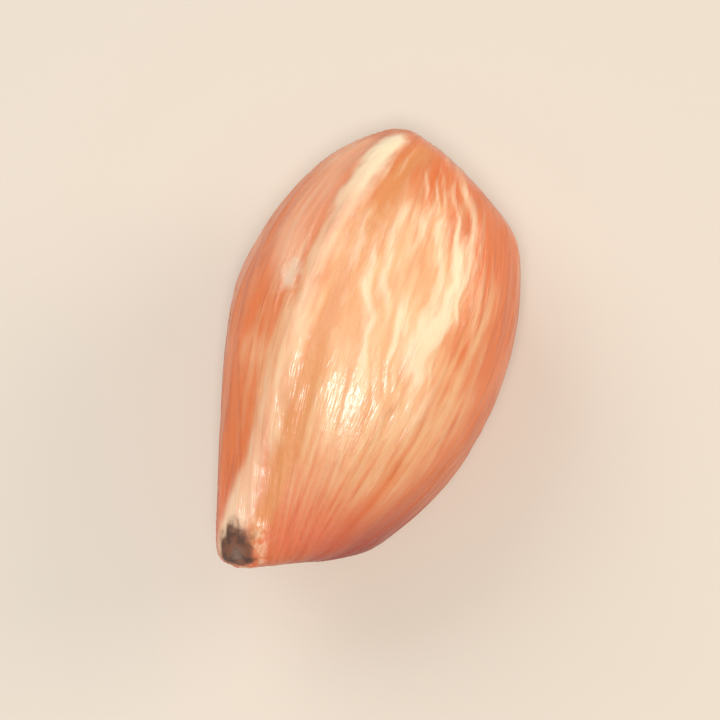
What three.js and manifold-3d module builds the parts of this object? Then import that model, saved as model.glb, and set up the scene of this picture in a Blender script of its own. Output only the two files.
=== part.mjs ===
// A shelled peanut kernel: one seed in its own skin, as it comes out of the pod.
//
// Millimetres, +Z up. +X runs from the beak, where the root would grow, to the blunt end, and
// +Y is the side that the beak leans to. The kernel lies on its flattened underside, and the
// origin is on that face's level, under the middle of the whole seed.
//
// Every point of the surface starts as a direction from the middle of the seed, a unit vector
// with x along the seed, y to the beak's side and z up. The seed is one piece, so it is one mesh.

import * as THREE from "three";
import { mergeVertices } from "three/addons/utils/BufferGeometryUtils.js";
import Module from "manifold-3d";

// Driving dimensions of the egg that the seed grows from. The beak and the flats change them a little.
const LENGTH = 17.1;
const WIDTH = 10.1;
const HEIGHT = 9.2;

// The egg: fuller in its blunt half, slimmer towards the beak.
const BLUNT_SWELL = 0.05;
const BEAK_SLIM = 0.25;

// The beak: a blunt nub over the root tip, off the seed's axis, towards +Y and a little upwards.
const BEAK = {
  toward: new THREE.Vector3(-1, 0.45, 0.25).normalize(),
  rise: 0.2, // share of the distance from the seed's middle
  spread: 0.38, // radians
  sharpness: 2.2, // 1 is a cone, 2 a round knoll
};

// Flats: where the pod's wall and the neighbouring seed held the growing seed. Each faces a
// direction round Z, in degrees from +X, and up or down by its slope. A point that stands past
// a flat's reach is let through by no more than its give.
const FLATS = [
  flat({ round: -27, slope: 3, reach: 6.2, give: 0.8 }), // the neighbouring seed
  flat({ round: 197, slope: -17, reach: 6.55, give: 1.0 }), // the chin, beside the beak
  flat({ round: 105, slope: 0, reach: 4.45, give: 0.6 }), // the pod's wall
];

// The raphe: the low ridge under the skin that feeds the seed, from beside the beak along the
// upper side to the blunt end. Its angle is measured from straight up, towards +Y.
const RAPHE = {
  lean: THREE.MathUtils.degToRad(25),
  swerve: THREE.MathUtils.degToRad(60), // extra lean where it reaches the beak
  swerveSharpness: 9,
  rise: 0.16,
  halfWidth: 0.48,
  ends: [-0.93, 0.93], // where it fades out, as x of the direction
  fade: 0.15,
};

// The face that the seed lies on: a plane this far under the seed's middle.
const REST_DEPTH = 4.4;

const DETAIL = 16; // the sphere of directions has 20 * (DETAIL + 1)^2 triangles

function flat({ round, slope, reach, give }) {
  const polar = THREE.MathUtils.degToRad(90 - slope);
  const turn = THREE.MathUtils.degToRad(round);
  // Three.js measures these angles from its own Y, so its axes are put in this part's order.
  const { x, y, z } = new THREE.Vector3().setFromSphericalCoords(1, polar, turn);
  return { facing: new THREE.Vector3(z, x, y), reach, give };
}

function eggPoint(direction) {
  const girth = 1 + BLUNT_SWELL * direction.x - BEAK_SLIM * Math.min(direction.x, 0) ** 2;
  return new THREE.Vector3(
    (LENGTH / 2) * direction.x,
    (WIDTH / 2) * girth * direction.y,
    (HEIGHT / 2) * girth * direction.z,
  );
}

// How much of its distance from the middle a point gains from the beak.
function beakRise(direction) {
  const away = direction.angleTo(BEAK.toward) / BEAK.spread;
  return BEAK.rise * Math.exp(-(away ** BEAK.sharpness));
}

function press(point, { facing, reach, give }) {
  const excess = point.dot(facing) - reach;
  if (excess <= 0) return;
  const kept = give * (1 - Math.exp(-excess / give));
  point.addScaledVector(facing, kept - excess);
}

// The ridge's height at a direction, from its distance to the raphe's line, measured round the seed.
function rapheRise(direction) {
  const towardsBeak = ((1 - direction.x) / 2) ** RAPHE.swerveSharpness;
  const line = RAPHE.lean + RAPHE.swerve * towardsBeak;
  const angle = Math.atan2(direction.y, direction.z) - line;
  const turn = Math.atan2(Math.sin(angle), Math.cos(angle));
  const radius = (WIDTH / 2) * Math.hypot(direction.y, direction.z);
  const across = (turn * radius) / RAPHE.halfWidth;
  const [first, last] = RAPHE.ends;
  const along =
    THREE.MathUtils.smoothstep(direction.x, first, first + RAPHE.fade) *
    (1 - THREE.MathUtils.smoothstep(direction.x, last - RAPHE.fade, last));
  return RAPHE.rise * along * Math.exp(-(across ** 2));
}

function surfacePoint(direction) {
  const point = eggPoint(direction);
  point.multiplyScalar(1 + beakRise(direction));
  for (const pressed of FLATS) press(point, pressed);
  const outward = point.clone().normalize();
  return point.addScaledVector(outward, rapheRise(direction));
}

// A closed mesh whose triangles share their corners, with nothing but places left on it.
function sharedCorners(geometry) {
  geometry.deleteAttribute("normal");
  geometry.deleteAttribute("uv");
  return mergeVertices(geometry, 1e-5);
}

function seedForm() {
  const geometry = sharedCorners(new THREE.IcosahedronGeometry(1, DETAIL));
  const places = geometry.getAttribute("position");
  const direction = new THREE.Vector3();
  for (let i = 0; i < places.count; i++) {
    const point = surfacePoint(direction.fromBufferAttribute(places, i).normalize());
    places.setXYZ(i, point.x, point.y, point.z);
  }
  return geometry;
}

const wasm = await Module();
wasm.setup();

function solidOf(geometry) {
  return new wasm.Manifold(
    new wasm.Mesh({
      numProp: 3,
      vertProperties: new Float32Array(geometry.getAttribute("position").array),
      triVerts: new Uint32Array(geometry.index.array),
    }),
  );
}

function geometryOf(solid) {
  const mesh = solid.getMesh();
  return new THREE.BufferGeometry()
    .setAttribute("position", new THREE.BufferAttribute(mesh.vertProperties, 3))
    .setIndex(new THREE.BufferAttribute(mesh.triVerts, 1));
}

// Takes off everything below the face that the seed lies on.
function cutRestingFace(geometry) {
  const size = 2 * LENGTH;
  const block = new THREE.BoxGeometry(size, size, size);
  block.translate(0, 0, -REST_DEPTH - size / 2);
  return geometryOf(solidOf(geometry).subtract(solidOf(sharedCorners(block))));
}

// Moves the seed so that the origin is under the middle of its box, on its resting face.
function standOnOrigin(geometry) {
  geometry.computeBoundingBox();
  const { min, max } = geometry.boundingBox;
  return geometry.translate(-(min.x + max.x) / 2, -(min.y + max.y) / 2, -min.z);
}

function kernel() {
  const geometry = standOnOrigin(cutRestingFace(seedForm()));
  geometry.computeVertexNormals();
  const skin = new THREE.MeshStandardMaterial({ color: 0xd9855c, roughness: 0.45, metalness: 0 });
  const mesh = new THREE.Mesh(geometry, skin);
  mesh.name = "kernel";
  return mesh;
}

const peanut = new THREE.Group();
peanut.add(kernel());

export default peanut;
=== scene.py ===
"""A shelled peanut kernel in its papery skin, lying alone on a pale table.

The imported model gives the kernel's box. Geometry Nodes grow the finished kernel to that box: an
egg with a beak, pressed flats and a raphe first, then the relief of the skin. The same tree
stores how far each mark of the skin reaches, and the skin's material colours those marks.
"""

import math
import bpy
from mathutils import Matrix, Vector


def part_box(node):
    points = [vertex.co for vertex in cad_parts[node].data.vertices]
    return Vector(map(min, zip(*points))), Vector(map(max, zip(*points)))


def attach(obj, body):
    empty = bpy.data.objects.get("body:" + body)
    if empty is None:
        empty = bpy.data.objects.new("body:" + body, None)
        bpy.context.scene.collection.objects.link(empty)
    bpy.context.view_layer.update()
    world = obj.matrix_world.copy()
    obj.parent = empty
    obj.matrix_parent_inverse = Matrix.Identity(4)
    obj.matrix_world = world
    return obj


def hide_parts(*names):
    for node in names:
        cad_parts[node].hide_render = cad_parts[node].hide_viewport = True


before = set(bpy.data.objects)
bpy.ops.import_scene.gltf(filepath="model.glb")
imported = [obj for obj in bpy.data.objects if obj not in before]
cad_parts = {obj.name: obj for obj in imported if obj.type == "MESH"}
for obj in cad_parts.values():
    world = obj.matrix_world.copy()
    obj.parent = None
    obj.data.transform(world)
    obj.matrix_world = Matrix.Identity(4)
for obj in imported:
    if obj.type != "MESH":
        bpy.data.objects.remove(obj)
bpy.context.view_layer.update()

from types import SimpleNamespace

import bpy
import numpy as np
from mathutils import Vector

MM = 0.001
LOW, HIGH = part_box("kernel")
SIZE = HIGH - LOW
MIDDLE = (LOW + HIGH) / 2

# Kinds of node that both trees are mostly made of, and the setting of every Map Range.
MATH = "ShaderNodeMath"
VECTOR = "ShaderNodeVectorMath"
RANGE = "ShaderNodeMapRange"
NOISE = "ShaderNodeTexNoise"
MIX = "ShaderNodeMix"
SMOOTH = {"interpolation_type": "SMOOTHSTEP"}

# --------------------------------------------------------------------------------------------
# The kernel's form. Directions are unit vectors from the seed's middle: x along the seed from
# the beak to the blunt end, y to the side that the beak leans to, z up.

BLUNT_SWELL = 0.05
BEAK_SLIM = 0.25
BEAK = Vector((-1.0, 0.45, 0.25)).normalized()
BEAK_RISE = 0.2
BEAK_SPREAD = 0.38  # radians
BEAK_SHARPNESS = 2.2

# Flats that the pod and the neighbouring seed pressed: degrees round Z from +X, degrees of slope,
# then reach and give. The last one is where the kernel lies.
FLATS = (
    (-27, 3, 6.2 * MM, 0.8 * MM),
    (197, -17, 6.55 * MM, 1.0 * MM),
    (105, 0, 4.45 * MM, 0.6 * MM),
    (0, -90, 4.35 * MM, 0.05 * MM),
)

# Vertices along and across the block that is blown up into the seed.
CELLS = (170, 104, 104)

# --------------------------------------------------------------------------------------------
# Marks of the skin.

# The raphe, the low ridge that feeds the seed: degrees from straight up towards +Y, with the
# extra lean where it swerves into the beak, and the crease along its inner side.
RAPHE_LEAN = 25
RAPHE_SWERVE = 60
RAPHE_SWERVE_POWER = 9
RAPHE_HALF_WIDTH = 0.48 * MM
RAPHE_BEAK_SPREAD = 0.9  # how much wider it is at the beak, as a share of its width
RAPHE_SPREAD_POWER = 5.0  # how late it widens
RAPHE_WANDER = 0.7 * MM  # from one side of its line to the other
RAPHE_ENDS = (-0.93, 0.93)
RAPHE_FADE = 0.15
CREASE_AT = -1.1 * MM
CREASE_HALF_WIDTH = 0.45 * MM

# A band beside the raphe, on its outer side, in the blunt half, where a soft reflection is painted
# into the skin as paler colour: a painted sheen.
SHEEN_BAND_AT = 1.5 * MM
SHEEN_BAND_HALF_WIDTH = 0.9 * MM
SHEEN_BAND_START = (-0.1, 0.3)  # where it is nothing and where it is full, as x of the direction

# The oval of slack, wrinkled skin on the upper side away from the raphe.
OVAL_MIDDLE = (1.9 * MM, -1.0 * MM)
OVAL_RADII = (5.8 * MM, 2.5 * MM)
OVAL_TURN = 9  # degrees from the seed's axis towards +Y
OVAL_EDGE = (1.1, 0.6)  # where it is nothing and where it is full, as a share of its radii
OVAL_TOP = (0.05, 0.45)  # the same, as z of the direction
SLACK = (0.9, -0.3, 0.8, 0.95)  # two places from the middle to the side, and the slack at each
CRESTS_ACROSS = 4.4  # noise cells from the oval's middle to its side
CRESTS_ALONG = 1.7  # noise cells from its middle to its end
CREST_WINDING = 2.0
CREST_ROOM = (1.05, 0.7)  # the crests' room at the middle, and how much of it the ends lose
MAIN_CREST = -0.5  # where the broadest crest runs, as a share of the way to the side
MAIN_CREST_HALF_WIDTH = 0.36
MAIN_CREST_WINDING = 1.2
MAIN_CREST_HEIGHT = 0.65  # as a share of the other crests' height

# Veins under the skin fan out from the blunt end and meet again at the beak.
VEINS_ROUND = 5.0  # noise cells to a radian round the seed
VEINS_ALONG = 0.8  # noise cells to half the seed's length
VEIN_HALF_WIDTH = 0.028  # in the noise's own height
VEINS_START = (0.12, 0.4)  # where they are nothing and full, as distance from the seed's axis

# Slack folds run the same way all over, with the same units.
FOLDS_ROUND = 2.8
FOLDS_ALONG = 0.9
FOLDS_START = (0.12, 0.5)

# The scar beside the beak's tip, where the stalk held the seed: its direction, and the angles from
# there to its edge and to the edge of its pit, with how ragged they are.
SCAR = Vector((-1.0, 0.41, 0.42)).normalized()
SCAR_REACH = 0.18
SCAR_PIT = 0.05
SCAR_RAGGED = 0.13
SCAR_RIM_HALF_WIDTH = 0.03

# The chin, under the beak on its other side, is coloured the reddest and darkest part of the skin:
# partly its own redder tone, partly painted shade along the bottom edge.
SHADED_CHIN = Vector((-0.8, -0.42, -0.1)).normalized()

# A small pale scuff on the shoulder, where the skin has rubbed: its direction and half its size.
SCUFF = Vector((0.1, 0.57, 0.8)).normalized()
SCUFF_SPREAD = 0.085

# Noise: cells to a unit of what it reads, detail and roughness. A unit is a radian where it reads
# a direction, a metre where it reads a place, and half the oval for the crests' wander. The crests
# and the lengthwise marks read numbers that are in cells already.
RAPHE_RAGS = (6.0, 2.0, 0.6)
CREST_WANDER = (3.0, 1.0, 0.4)
CREST_CELLS = (1.0, 2.0, 0.5)
LENGTHWISE = (1.0, 2.0, 0.55)
SCAR_RAGS = (14.0, 2.0, 0.6)
SWELLINGS = (1.6, 1.0, 0.4)
CRINKLES = (1 / (0.9 * MM), 3.0, 0.6)
MOTTLES = (1 / (3.5 * MM), 3.0, 0.55)
GRAINS = (1 / (0.35 * MM), 3.0, 0.6)

# Fibres and streaks run the way that the veins do: noise cells round and along.
FIBRES = (34.0, 9.0)
STREAKS = (9.0, 2.2)

# How high or deep each kind of mark stands, in metres, and the seeds of the patterns.
GROWTH = {
    "Size": tuple(SIZE),
    "Raphe rise": 0.16 * MM,
    "Crease depth": 0.045 * MM,
    "Wrinkle height": 0.038 * MM,
    "Vein height": 0.025 * MM,
    "Fold height": 0.05 * MM,
    "Swelling": 0.25 * MM,
    "Crinkle": 0.02 * MM,
    "Scar depth": 0.16 * MM,
    "Scar rim": 0.06 * MM,
    "Wrinkle seed": 1.9,
    "Vein seed": 5.2,
    "Fold seed": 1.3,
}


def add(tree, kind, *inputs, named=None, **settings):
    """Adds a node with its settings, joins or sets its inputs, and returns its first output.

    An input is a socket, a value, or None to leave it alone. Inputs come in order, counting only
    those that the settings leave in use, or by name.
    """
    node = tree.nodes.new(kind)
    for name, value in settings.items():
        setattr(node, name, value)
    used = [socket for socket in node.inputs if socket.enabled]
    by_name = [(node.inputs[name], value) for name, value in (named or {}).items()]
    for socket, value in [*zip(used, inputs), *by_name]:
        if isinstance(value, bpy.types.NodeSocket):
            tree.links.new(value, socket)
        elif value is not None:
            socket.default_value = value
    return next((socket for socket in node.outputs if socket.enabled), None)


def total(tree, *terms):
    """The sum of the terms. Each is a tuple of values that are multiplied together."""
    amount = 0.0
    for first, *others in terms:
        for other in others[:-1]:
            first = add(tree, MATH, first, other, operation="MULTIPLY")
        amount = add(tree, MATH, first, *(others[-1:] or [1.0]), amount, operation="MULTIPLY_ADD")
    return amount


def bell(tree, distance, width, power=2.0):
    """A hump, 1 high where the distance is nothing, which falls away on both sides."""
    away = add(tree, MATH, distance, operation="ABSOLUTE")
    share = add(tree, MATH, away, width, operation="DIVIDE")
    fall = add(tree, MATH, share, power, operation="POWER")
    return add(tree, MATH, total(tree, (fall, -1.0)), operation="EXPONENT")


# --------------------------------------------------------------------------------------------
# The form's tree.


def seed_fields(tree, toward):
    """What the form and the marks read from a direction: its parts, and its angles to the marks."""
    x, y, z = add(tree, "ShaderNodeSeparateXYZ", toward).node.outputs
    sideways = add(tree, "ShaderNodeCombineXYZ", 0.0, y, z)
    off = []
    for mark in (BEAK, SCAR, SHADED_CHIN, SCUFF):
        cosine = add(tree, VECTOR, toward, mark, operation="DOT_PRODUCT")
        off.append(add(tree, MATH, cosine, operation="ARCCOSINE"))
    return SimpleNamespace(
        toward=toward,
        x=x,
        y=y,
        z=z,
        level=add(tree, VECTOR, sideways, operation="LENGTH"),
        around=add(tree, VECTOR, sideways, operation="NORMALIZE"),
        angle=add(tree, MATH, y, z, operation="ARCTAN2"),
        off_beak=off[0],
        off_scar=off[1],
        off_shaded_chin=off[2],
        off_scuff=off[3],
    )


def egg(tree, seed, size):
    """The egg: fuller in its blunt half, slimmer towards the beak, with a nub over the root tip."""
    behind = add(tree, MATH, seed.x, 0.0, operation="MINIMUM")
    girth = total(tree, (seed.x, BLUNT_SWELL), (behind, behind, -BEAK_SLIM), (1.0,))
    half_girth = total(tree, (girth, 0.5))
    shares = add(tree, "ShaderNodeCombineXYZ", 0.5, half_girth, half_girth)
    radii = add(tree, VECTOR, size, shares, operation="MULTIPLY")
    place = add(tree, VECTOR, seed.toward, radii, operation="MULTIPLY")
    nub = bell(tree, seed.off_beak, BEAK_SPREAD, BEAK_SHARPNESS)
    return add(tree, VECTOR, place, total(tree, (nub, BEAK_RISE), (1.0,)), operation="SCALE")


def pressed(tree, place, flat):
    """What stands past a flat's reach is squeezed into less than the flat's give."""
    turn, slope, reach, give = flat
    turn, slope = math.radians(turn), math.radians(slope)
    level = math.cos(slope)
    facing = Vector((math.cos(turn) * level, math.sin(turn) * level, math.sin(slope)))
    beyond = add(tree, VECTOR, place, facing, operation="DOT_PRODUCT")
    excess = add(tree, MATH, total(tree, (beyond,), (-reach,)), 0.0, operation="MAXIMUM")
    kept = total(tree, (bell(tree, excess, give, 1.0), -give), (give,), (excess, -1.0))
    shift = add(tree, VECTOR, facing, kept, operation="SCALE")
    return add(tree, VECTOR, place, shift, operation="ADD")


# --------------------------------------------------------------------------------------------
# The marks' trees. Each gives how much of the mark is at a place, from 0 to 1 or from -1 to 1.


def across_raphe(tree, seed, nearness):
    """How far round the seed a place is from the raphe's line, in metres."""
    swerve = add(tree, MATH, nearness, RAPHE_SWERVE_POWER, operation="POWER")
    line = total(tree, (swerve, math.radians(RAPHE_SWERVE)), (math.radians(RAPHE_LEAN),))
    turn = add(tree, MATH, seed.angle, line, operation="SUBTRACT")
    turn = add(tree, MATH, turn, math.pi, -math.pi, operation="WRAP")
    return total(tree, (turn, seed.level, SIZE.y / 2))


def raphe_marks(tree, seed):
    """The ridge, the crease along its inner side, and the band on its outer side where a sheen is
    painted as paler skin.
    """
    nearness = total(tree, (seed.x, -0.5), (0.5,))  # 0 at the blunt end, 1 at the beak
    straight = across_raphe(tree, seed, nearness)
    ragged = add(tree, NOISE, seed.toward, *RAPHE_RAGS)
    across = total(tree, (straight,), (ragged, RAPHE_WANDER), (-RAPHE_WANDER / 2,))
    widening = add(tree, MATH, nearness, RAPHE_SPREAD_POWER, operation="POWER")
    half_width = total(tree, (widening, RAPHE_HALF_WIDTH * RAPHE_BEAK_SPREAD), (RAPHE_HALF_WIDTH,))
    first, last = RAPHE_ENDS
    from_beak = add(tree, RANGE, seed.x, first, first + RAPHE_FADE, **SMOOTH)
    from_blunt = add(tree, RANGE, seed.x, last, last - RAPHE_FADE, **SMOOTH)
    ridge = total(tree, (bell(tree, across, half_width), from_beak, from_blunt))
    off_crease = total(tree, (across,), (-CREASE_AT,))
    crease = total(tree, (bell(tree, off_crease, CREASE_HALF_WIDTH), from_beak, from_blunt))
    # The band of painted sheen: paler colour that stands for a soft reflection.
    off_sheen_band = total(tree, (across,), (-SHEEN_BAND_AT,))
    beside = bell(tree, off_sheen_band, SHEEN_BAND_HALF_WIDTH)
    in_blunt_half = add(tree, RANGE, seed.x, *SHEEN_BAND_START, **SMOOTH)
    sheen_band = total(tree, (beside, in_blunt_half, from_blunt))
    return ridge, crease, sheen_band


def wrinkle_marks(tree, seed, place, number):
    """Crests and hollows of slack skin, drawn out along an oval, and how far the oval reaches."""
    turn = math.radians(OVAL_TURN)
    off = add(tree, VECTOR, place, Vector((*OVAL_MIDDLE, 0.0)), operation="SUBTRACT")
    long_way = Vector((math.cos(turn), math.sin(turn), 0.0)) / OVAL_RADII[0]
    short_way = Vector((-math.sin(turn), math.cos(turn), 0.0)) / OVAL_RADII[1]
    along = add(tree, VECTOR, off, long_way, operation="DOT_PRODUCT")
    across = add(tree, VECTOR, off, short_way, operation="DOT_PRODUCT")
    flat = add(tree, "ShaderNodeCombineXYZ", along, across, 0.0)
    out = add(tree, VECTOR, flat, operation="LENGTH")

    # The crests gather towards the oval's two ends, as lines of longitude do.
    near_end = add(tree, MATH, total(tree, (along, along)), 1.0, operation="MINIMUM")
    room_in_middle, lost_at_ends = CREST_ROOM
    room = total(tree, (near_end, -lost_at_ends), (room_in_middle,))
    longitude = add(tree, MATH, across, room, operation="DIVIDE")
    drawn_out = add(tree, VECTOR, flat, (1.0, 0.5, 1.0), operation="MULTIPLY")
    wander = add(tree, NOISE, drawn_out, *CREST_WANDER)
    winding = total(tree, (longitude, CRESTS_ACROSS), (wander, CREST_WINDING))
    cells = add(tree, "ShaderNodeCombineXYZ", total(tree, (along, CRESTS_ALONG)), winding, number)
    field = add(tree, NOISE, cells, *CREST_CELLS)
    wave = add(tree, RANGE, field, 0.3, 0.7, -1.0, 1.0, **SMOOTH)
    centring = -MAIN_CREST_WINDING / 2 - MAIN_CREST
    off_main = total(tree, (longitude,), (wander, MAIN_CREST_WINDING), (centring,))
    main_crest = bell(tree, off_main, MAIN_CREST_HALF_WIDTH)

    # The skin is slack on top only, and a little more so on the side away from the raphe.
    above = add(tree, RANGE, seed.z, *OVAL_TOP, **SMOOTH)
    within = add(tree, RANGE, out, *OVAL_EDGE, **SMOOTH)
    reach = total(tree, (above, within))
    slack = add(tree, RANGE, across, *SLACK, **SMOOTH)
    return total(tree, (wave, slack, reach), (main_crest, MAIN_CREST_HEIGHT, reach)), reach


def lengthwise_noise(tree, seed, round_cells, along_cells, **named):
    """Noise drawn out along the seed, which gathers at the beak and the blunt end."""
    along = add(tree, "ShaderNodeCombineXYZ", total(tree, (seed.x, along_cells)), 0.0, 0.0)
    cells = add(tree, VECTOR, seed.around, (round_cells,) * 3, along, operation="MULTIPLY_ADD")
    return add(tree, NOISE, cells, *LENGTHWISE, named=named, noise_dimensions="4D")


def vein_marks(tree, seed, number):
    """Thin lines along the seed, which part and join."""
    field = lengthwise_noise(tree, seed, VEINS_ROUND, VEINS_ALONG, W=number, Distortion=0.2)
    line = bell(tree, total(tree, (field,), (-0.5,)), VEIN_HALF_WIDTH)
    return total(tree, (line, add(tree, RANGE, seed.level, *VEINS_START, **SMOOTH)))


def fold_marks(tree, seed, number):
    """Slack lengthwise folds all round, from -1 to 1."""
    field = lengthwise_noise(tree, seed, FOLDS_ROUND, FOLDS_ALONG, W=number, Distortion=0.2)
    height = total(tree, (field, 4.0), (-2.0,))
    return total(tree, (height, add(tree, RANGE, seed.level, *FOLDS_START, **SMOOTH)))


def scar_marks(tree, seed):
    """The whole scar with a ragged edge, the pit in it, and the rim along its inner side."""
    ragged = add(tree, NOISE, seed.toward, *SCAR_RAGS, named={"Distortion": 0.3})
    off = total(tree, (seed.off_scar,), (ragged, SCAR_RAGGED), (-SCAR_RAGGED / 2,))
    whole = add(tree, RANGE, off, SCAR_REACH, SCAR_REACH * 0.5, **SMOOTH)
    pit = bell(tree, off, SCAR_PIT)
    inner_side = add(tree, RANGE, seed.y, SCAR.y + 0.02, SCAR.y - 0.05, **SMOOTH)
    off_edge = total(tree, (off,), (-SCAR_REACH,))
    rim = total(tree, (bell(tree, off_edge, SCAR_RIM_HALF_WIDTH), inner_side))
    return whole, pit, rim


def kernel_tree(material):
    """Geometry Nodes that grow the kernel from a block, with an input for everything in GROWTH."""
    tree = bpy.data.node_groups.new("Peanut kernel", "GeometryNodeTree")
    for name, value in GROWTH.items():
        kind = "NodeSocketFloat" if isinstance(value, float) else "NodeSocketVector"
        tree.interface.new_socket(name, in_out="INPUT", socket_type=kind)
    tree.interface.new_socket("Kernel", in_out="OUTPUT", socket_type="NodeSocketGeometry")
    given = add(tree, "NodeGroupInput").node.outputs

    # A block of even cells, whose corners give evenly spread directions.
    store = "GeometryNodeStoreNamedAttribute"
    block = add(tree, "GeometryNodeMeshCube", (2.0, 2.0, 2.0), *CELLS)
    corner = add(tree, "GeometryNodeInputPosition")
    as_angle = add(tree, VECTOR, corner, math.pi / 4, operation="SCALE")
    evened = add(tree, VECTOR, as_angle, operation="TANGENT")
    toward = add(tree, VECTOR, evened, operation="NORMALIZE")
    shape = add(tree, store, block, None, "toward", toward, data_type="FLOAT_VECTOR")

    stored = add(tree, "GeometryNodeInputNamedAttribute", "toward", data_type="FLOAT_VECTOR")
    seed = seed_fields(tree, stored)
    place = egg(tree, seed, given["Size"])
    for flat in FLATS:
        place = pressed(tree, place, flat)
    shape = add(tree, "GeometryNodeSetPosition", shape, None, place)

    ridge, crease, sheen_band = raphe_marks(tree, seed)
    wrinkle, oval = wrinkle_marks(tree, seed, place, given["Wrinkle seed"])
    vein = vein_marks(tree, seed, given["Vein seed"])
    fold = fold_marks(tree, seed, given["Fold seed"])
    scar, pit, rim = scar_marks(tree, seed)
    swelling = add(tree, NOISE, seed.toward, *SWELLINGS)
    crinkle = add(tree, NOISE, place, *CRINKLES)
    marks = {
        "raphe": ridge,
        "crease": crease,
        "sheen_band": sheen_band,
        "wrinkle": wrinkle,
        "oval": oval,
        "vein": vein,
        "fold": fold,
        "scar": scar,
        "pit": pit,
        "rim": rim,
    }
    for name, mark in marks.items():
        shape = add(tree, store, shape, None, name, mark, data_type="FLOAT")

    relief = total(
        tree,
        (ridge, given["Raphe rise"]),
        (crease, given["Crease depth"], -1.0),
        (wrinkle, given["Wrinkle height"]),
        (vein, given["Vein height"]),
        (fold, given["Fold height"]),
        (total(tree, (swelling,), (-0.5,)), given["Swelling"]),
        (total(tree, (crinkle,), (-0.5,)), given["Crinkle"]),
        (pit, given["Scar depth"], -1.0),
        (rim, given["Scar rim"]),
    )
    out = add(tree, VECTOR, add(tree, "GeometryNodeInputNormal"), relief, operation="SCALE")
    shape = add(tree, "GeometryNodeSetPosition", shape, None, None, out)
    shape = add(tree, "GeometryNodeSetShadeSmooth", shape, None, True)
    shape = add(tree, "GeometryNodeRealizeInstances", shape)
    shape = add(tree, "GeometryNodeSetMaterial", shape, None, material)
    add(tree, "NodeGroupOutput", shape)
    return tree


def grown_kernel(material):
    """The kernel as a plain mesh, in its place on the table."""
    start = bpy.data.objects.new("growing kernel", bpy.data.meshes.new("growing kernel"))
    bpy.context.collection.objects.link(start)
    grow = start.modifiers.new("Grow", "NODES")
    grow.node_group = kernel_tree(material)
    for item in grow.node_group.interface.items_tree:
        if item.in_out == "INPUT":
            grow[item.identifier] = GROWTH[item.name]
    grown = start.evaluated_get(bpy.context.evaluated_depsgraph_get())
    mesh = bpy.data.meshes.new_from_object(grown)
    bpy.data.objects.remove(start)
    mesh.name = "kernel_skin"
    kernel = bpy.data.objects.new("kernel_skin", mesh)
    bpy.context.collection.objects.link(kernel)
    settle(mesh)
    return kernel


def settle(mesh):
    """Stretches the mesh by the little that it needs to fill the kernel's box."""
    places = np.empty(len(mesh.vertices) * 3, np.float32)
    mesh.vertices.foreach_get("co", places)
    places = places.reshape(-1, 3)
    lowest, highest = places.min(0), places.max(0)
    places = np.array(LOW) + (places - lowest) * (np.array(SIZE) / (highest - lowest))
    mesh.vertices.foreach_set("co", places.astype(np.float32).ravel())
    mesh.update()


# --------------------------------------------------------------------------------------------
# The skin's material.


def colour(hex_text, alpha=1.0):
    """An sRGB hex colour as Blender's linear one."""
    shares = [int(hex_text[i : i + 2], 16) / 255 for i in (1, 3, 5)]
    return (*[s / 12.92 if s <= 0.04045 else ((s + 0.055) / 1.055) ** 2.4 for s in shares], alpha)


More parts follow.
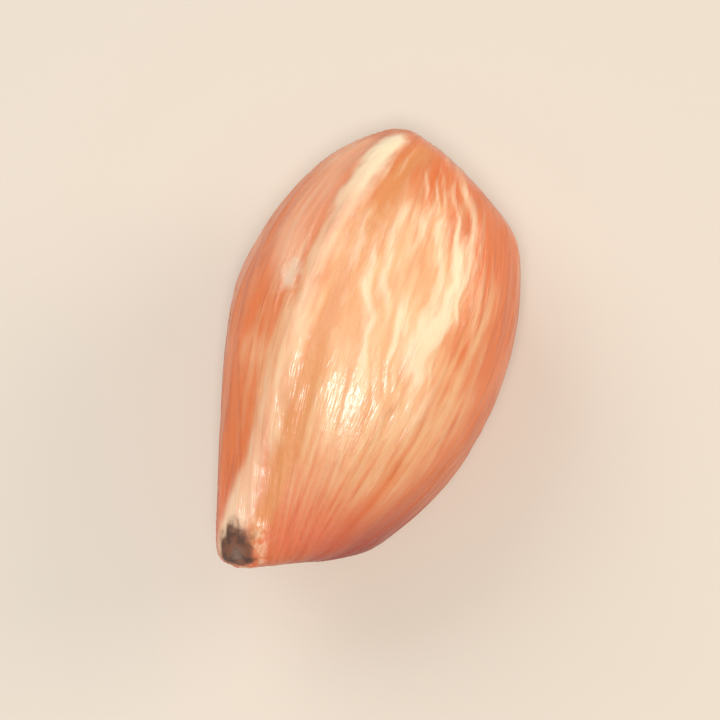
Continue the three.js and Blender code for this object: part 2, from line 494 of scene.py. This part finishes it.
def papery_skin():
    """Raw peanut testa: a dry, papery seed coat with a natural satin gloss.

    It gives the eye a warm tan crown between orange flanks, its top partly painted light, painted
    paler where the light falls. It has cream wrinkle crests, partly painted sheen, with hollows in
    painted shade, a cream raphe with a crease in painted shade and a band of painted sheen beside
    it, a blush at the beak, a red chin darkened by painted shade, a small dark scar and a pale
    scuff. Fine veins run along it, and its fibres break the soft highlights into streaks.
    """
    skin = bpy.data.materials.new("raw peanut testa, satin")
    skin.use_nodes = True
    tree = skin.node_tree
    tree.nodes.clear()

    mark = {}
    names = ("raphe", "crease", "sheen_band", "wrinkle", "oval", "vein", "fold", "scar", "pit", "rim")
    for name in names:
        stored = add(tree, "ShaderNodeAttribute", attribute_name=name).node.outputs
        mark[name] = stored["Fac"]
    toward = add(tree, "ShaderNodeAttribute", attribute_name="toward").node.outputs["Vector"]
    seed = seed_fields(tree, toward)
    place = add(tree, "ShaderNodeTexCoord").node.outputs["Object"]

    mottle = add(tree, NOISE, place, *MOTTLES)
    grain = add(tree, NOISE, place, *GRAINS)
    fibres = lengthwise_noise(tree, seed, *FIBRES, W=0.0, Distortion=0.4)
    streaks = lengthwise_noise(tree, seed, *STREAKS, W=4.0, Distortion=0.3)

    # How pale the skin is under its marks: palest on top, a little paler towards the beak, and
    # fairly pale below. Partly painted light: the top, where the light falls, is painted paler than
    # the flanks, over the skin's own paler crown. Veins are dull where it is pale, and the blush
    # comes in spots.
    lit_top = total(tree, (seed.z,), (seed.y, -0.1))
    above = add(tree, MATH, lit_top, total(tree, (seed.z, -0.85)), operation="MAXIMUM")
    pale_and_lit = total(tree, (above,), (mottle, 0.5), (streaks, 0.5), (seed.x, -0.13), (-0.5,))
    dull = add(tree, RANGE, pale_and_lit, 1.2, 0.3, 0.06, 0.32, **SMOOTH)
    spots = add(tree, RANGE, mottle, 0.2, 0.6, 0.0, 0.8, **SMOOTH)

    # How strong some of the marks' colours are, which the streaks, fibres and grain make uneven.
    uneven = total(tree, (streaks, 0.9), (0.15,))
    creamy = total(tree, (streaks, 0.4), (seed.x, seed.x), (seed.x, 0.28), (0.06,))
    feather = total(tree, (fibres, 0.9), (streaks, 0.9), (-0.9,))
    # Where the crests' cream goes. The cream is partly the skin's own and partly painted sheen.
    crest_and_sheen = total(tree, (mark["wrinkle"],), (feather, total(tree, (mark["oval"], 0.8), (0.2,))))
    rubbed = total(tree, (bell(tree, seed.off_scuff, SCUFF_SPREAD), 0.6), (grain, 0.8), (-0.4,))
    speckle = add(tree, RANGE, grain, 0.35, 0.6, 0.0, 0.7, **SMOOTH)

    # Each layer: its colour, what it follows, where that starts and is full, and its strength then.
    layers = (
        ("#C9622F", streaks, 0.45, 0.75, 0.6),
        ("#EA9468", mottle, 0.48, 0.68, 0.3),
        # Pale crown: partly the skin's own colour, partly painted light on the lit top.
        ("#F0C08F", pale_and_lit, 0.56, 1.06, 1.0),
        ("#E47352", seed.x, -0.5, -0.9, spots),
        # Darker red chin: partly the skin's own tone, partly painted shade along the bottom edge.
        ("#A02C1C", seed.off_shaded_chin, 0.85, 0.2, 1.0),
        ("#AE4A2A", mark["vein"], 0.0, 1.0, dull),
        ("#F4CFA4", mark["fold"], 0.2, 1.2, 0.2),
        ("#C9683C", fibres, 0.5, 0.72, 0.15),
        # Painted sheen: a soft reflection beside the raphe, painted as paler skin.
        ("#F0B792", mark["sheen_band"], 0.0, 0.9, uneven),
        ("#EBDAC0", rubbed, 0.1, 0.6, 0.6),
        # Painted shade: the crease beside the raphe is coloured darker than the skin around it.
        ("#DE9155", mark["crease"], 0.0, 1.0, 0.85),
        # Painted shade in the wrinkles' hollows.
        ("#E0935C", mark["wrinkle"], 0.0, -0.9, 0.4),
        # Cream crests: partly the skin's own colour, partly painted sheen on them.
        ("#F9E3BE", crest_and_sheen, -0.1, 1.25, 0.82),
        ("#F9E6C2", mark["raphe"], 0.05, 0.85, creamy),
        ("#F0CDA6", mark["rim"], 0.0, 1.0, speckle),
        ("#7A4A33", mark["scar"], 0.0, 1.0, 1.0),
        ("#55382C", grain, 0.42, 0.6, mark["scar"]),
        ("#97796A", mark["pit"], 0.0, 1.0, 0.6),
    )
    tint = colour("#DD7339")
    for hex_text, follows, starts, full, strength in layers:
        amount = add(tree, RANGE, follows, starts, full, 0.0, strength, **SMOOTH)
        tint = add(tree, MIX, amount, tint, colour(hex_text), data_type="RGBA")

    rough = total(tree, (grain, 0.2), (mark["scar"], 0.3), (0.38,))
    fine = total(tree, (grain, 0.5), (fibres, 0.5))
    bump = add(tree, "ShaderNodeBump", 1.0, 0.035 * MM, named={"Height": fine})
    surface = add(
        tree,
        "ShaderNodeBsdfPrincipled",
        named={
            "Base Color": tint,
            "Roughness": rough,
            "Normal": bump,
            "IOR": 1.45,
            "Subsurface Weight": 0.12,
            "Subsurface Radius": (0.9, 0.4, 0.2),
            "Subsurface Scale": 0.6 * MM,
            "Coat Weight": 0.65,
            "Coat Roughness": 0.22,
            "Coat Normal": bump,
        },
    )
    add(tree, "ShaderNodeOutputMaterial", surface)
    return skin


# --------------------------------------------------------------------------------------------
# The stage.

TABLE_WIDTH = 1.2
DAYLIGHT = 0.34  # strength of the light from all round


def pale_table():
    """A plain painted board: matte and warm white, so that only the kernel has colour."""
    half = TABLE_WIDTH / 2
    mesh = bpy.data.meshes.new("table")
    around = ((-half, -half), (half, -half), (half, half), (-half, half))
    mesh.from_pydata([(x, y, LOW.z) for x, y in around], [], [(0, 1, 2, 3)])
    table = bpy.data.objects.new("table", mesh)
    bpy.context.collection.objects.link(table)
    paint = bpy.data.materials.new("matte warm white paint")
    paint.use_nodes = True
    named = paint.node_tree.nodes["Principled BSDF"].inputs
    named["Base Color"].default_value = colour("#DCD3C6")
    named["Roughness"].default_value = 0.8
    mesh.materials.append(paint)


def soft_lamp(name, away, width, watts, tint="#FFFFFF"):
    """A square soft box that faces the kernel from that far away."""
    lamp = bpy.data.lights.new(name, "AREA")
    lamp.size = width
    lamp.energy = watts
    lamp.color = colour(tint)[:3]
    holder = bpy.data.objects.new(name, lamp)
    holder.location = MIDDLE + away
    holder.rotation_mode = "QUATERNION"
    holder.rotation_quaternion = (-away).to_track_quat("-Z", "Y")
    bpy.context.collection.objects.link(holder)


def camera(azimuth, elevation, lens, field):
    """Looks at the kernel from an azimuth and elevation in degrees, and takes in that field."""
    turn, rise = math.radians(azimuth), math.radians(elevation)
    level = math.cos(rise)
    back = Vector((math.sin(turn) * level, -math.cos(turn) * level, math.sin(rise)))
    made = bpy.data.cameras.new("camera")
    made.lens = lens
    made.clip_start = MM
    holder = bpy.data.objects.new("camera", made)
    holder.location = MIDDLE + back * (field * lens / made.sensor_width)
    holder.rotation_mode = "QUATERNION"
    holder.rotation_quaternion = (-back).to_track_quat("-Z", "Y")
    bpy.context.collection.objects.link(holder)
    bpy.context.scene.camera = holder


def studio():
    """Soft daylight from all round, with a key, a fill and a rim lamp, each a soft box.

    The key is overhead. The fill is on the side that the beak leans to, and the rim opposite it.
    """
    scene = bpy.context.scene
    scene.view_settings.view_transform = "Standard"
    world = bpy.data.worlds.new("studio")
    world.use_nodes = True
    background = world.node_tree.nodes["Background"].inputs
    background["Color"].default_value = colour("#FFF8F0")
    background["Strength"].default_value = DAYLIGHT
    scene.world = world
    soft_lamp("key", Vector((-0.05, -0.014, 0.16)), 0.036, 0.16)
    soft_lamp("fill", Vector((0.055, 0.11, 0.12)), 0.12, 0.10)
    soft_lamp("rim", Vector((0.10, -0.12, 0.08)), 0.10, 0.115, tint="#FFE6CF")


kernel = grown_kernel(papery_skin())
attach(kernel, "root")
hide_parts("kernel")

pale_table()
studio()
camera(azimuth=-71, elevation=76, lens=100, field=25.5 * MM)
